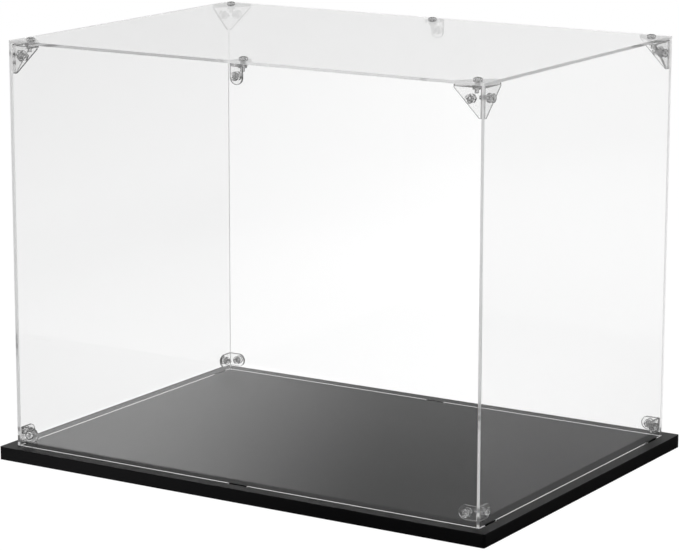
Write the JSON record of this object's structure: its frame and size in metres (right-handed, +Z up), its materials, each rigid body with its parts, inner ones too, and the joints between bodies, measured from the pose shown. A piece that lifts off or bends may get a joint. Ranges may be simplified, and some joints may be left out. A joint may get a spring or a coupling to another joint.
{
  "type": "display case",
  "caption": "Clear box-shaped display case of screwed acrylic sheets with clear corner brackets, lifting off a flat black slotted base plate.",
  "frame": {"origin": "bottom centre of the base plate, on the surface that the case stands on", "axes": "+X along the long side to the right, +Y to the back, +Z up"},
  "size_m": [0.4, 0.292, 0.3047],
  "materials": {
    "black_board": "satin black surface, reflecting softly",
    "clear_acrylic": "clear polished cast sheet with cut edges",
    "clear_moulding": "clear injection moulding",
    "clear_fastening": "clear moulded screws and nuts"
  },
  "bodies": {
    "base": {"base_plate": "black_board"},
    "cover": {"front_panel": "clear_acrylic", "back_panel": "clear_acrylic", "left_panel": "clear_acrylic", "right_panel": "clear_acrylic", "top_panel": "clear_acrylic", "top_bracket_front_left": "clear_moulding", "top_bracket_front_right": "clear_moulding", "top_bracket_back_left": "clear_moulding", "top_bracket_back_right": "clear_moulding", "mid_bracket_front": "clear_moulding", "mid_bracket_back": "clear_moulding", "low_bracket_front_left": "clear_moulding", "low_bracket_front_right": "clear_moulding", "low_bracket_back_left": "clear_moulding", "low_bracket_back_right": "clear_moulding", "top_corner_screws": "clear_fastening", "top_corner_nuts": "clear_fastening", "middle_screws": "clear_fastening", "middle_nuts": "clear_fastening", "low_corner_screws": "clear_fastening", "low_corner_nuts": "clear_fastening"}
  },
  "joints": [
    {"name": "cover_lift", "type": "slide", "parent": "base", "child": "cover", "axis": [0, 0, 1], "range_m": [0, 0.33]}
  ]
}
